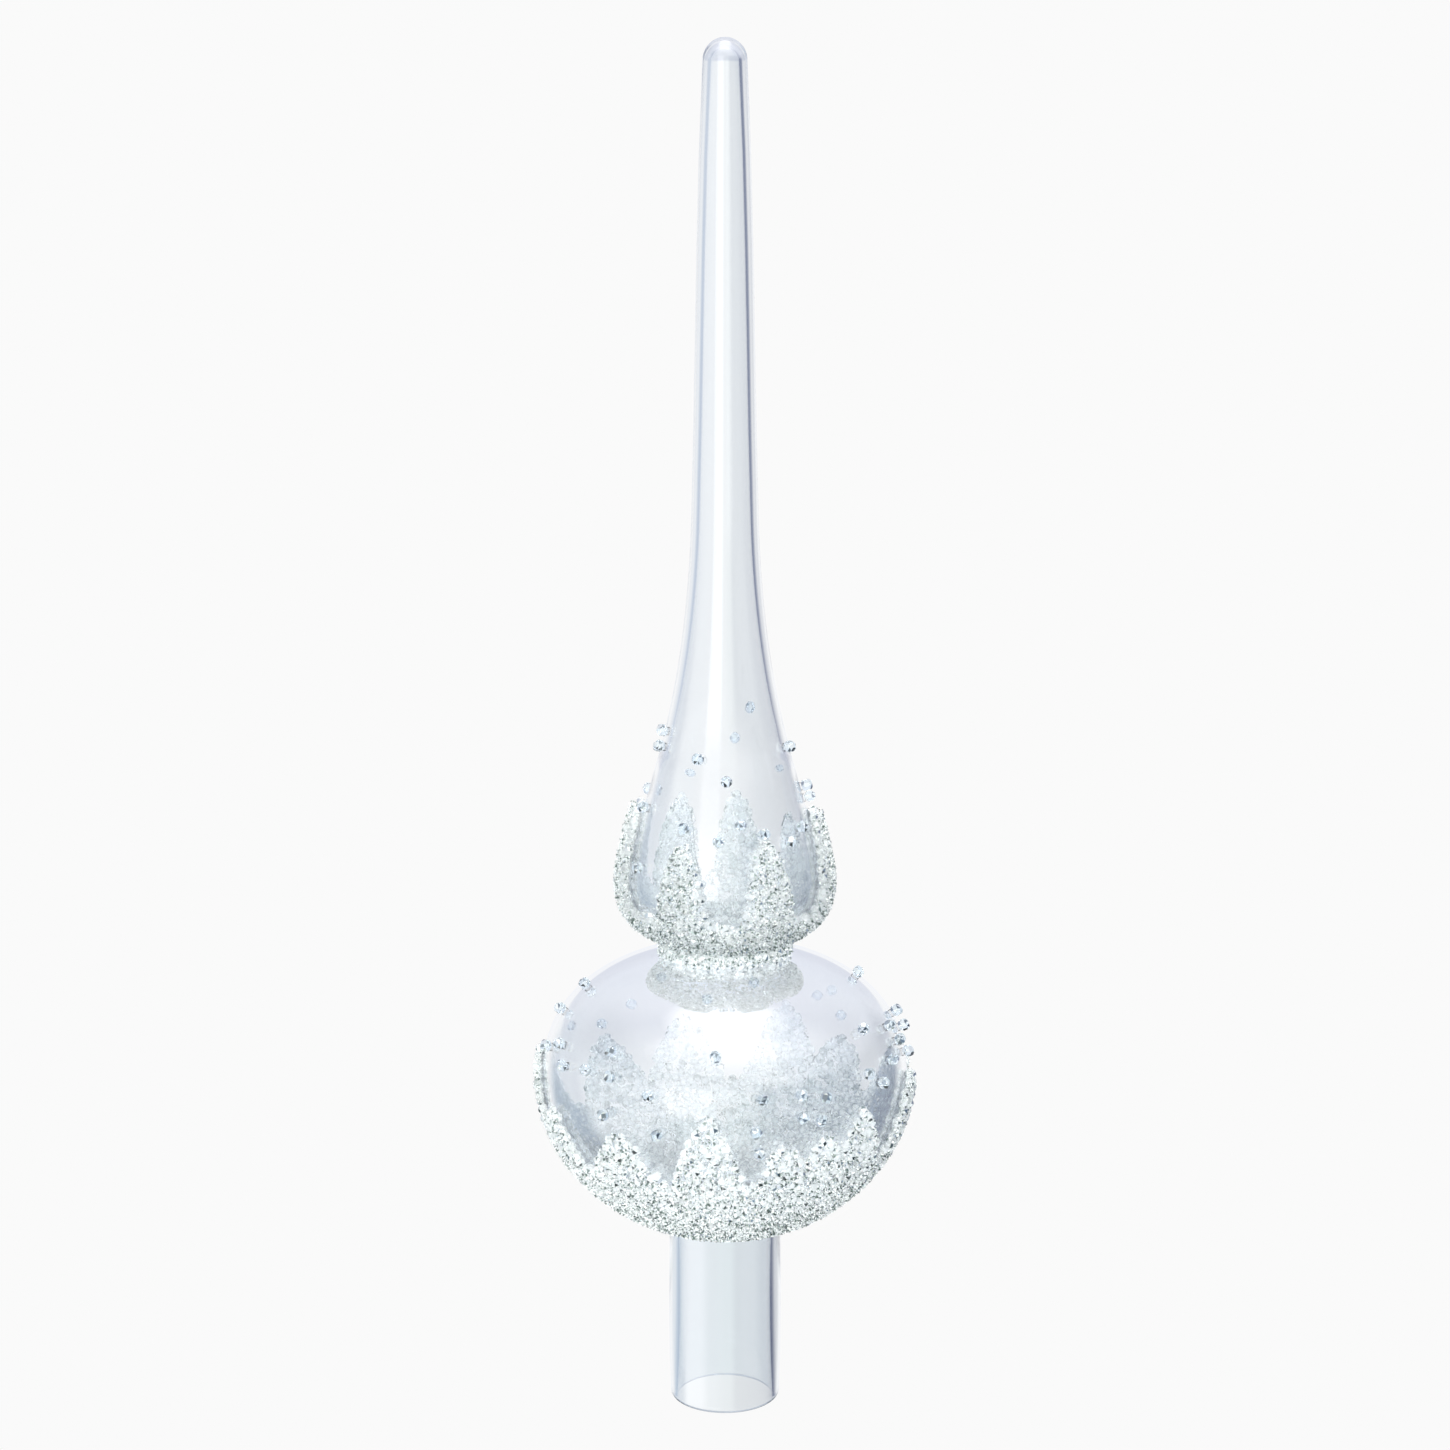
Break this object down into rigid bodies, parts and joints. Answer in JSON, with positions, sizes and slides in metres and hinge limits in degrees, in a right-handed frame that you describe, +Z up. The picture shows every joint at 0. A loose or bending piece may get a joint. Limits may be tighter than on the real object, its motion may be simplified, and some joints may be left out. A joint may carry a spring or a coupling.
{
  "type": "glass icicle tree topper",
  "caption": "Clear blown-glass topper: a long icicle spire, drop-shaped bulb and flattened globe with crystal crusts and single crystals, on an open slip-on tube.",
  "frame": {"origin": "on the axis of the slip-on tube, at the lowest edge of its rim", "axes": "+Z up along the axis to the tip of the spire, -Y towards the front"},
  "size_m": [0.0759, 0.0763, 0.269],
  "materials": {
    "clear_glass": "clear blown glass, fire-polished",
    "adhesive": "clear cured adhesive, glossy",
    "crystal_crust": "sparkling crust of clear glass crystals",
    "cut_crystal": "cut clear glass, faintly ice blue"
  },
  "bodies": {
    "root": {"spire_bulb": "clear_glass", "globe": "clear_glass", "socket_tube": "clear_glass", "bulb_glue": "adhesive", "neck_glue": "adhesive", "globe_glue": "adhesive", "bulb_crust": "crystal_crust", "neck_crust": "crystal_crust", "globe_crust": "crystal_crust", "bulb_crystals": "cut_crystal", "globe_crystals": "cut_crystal", "bulb_glue_dots": "adhesive", "globe_glue_dots": "adhesive"}
  },
  "joints": []
}
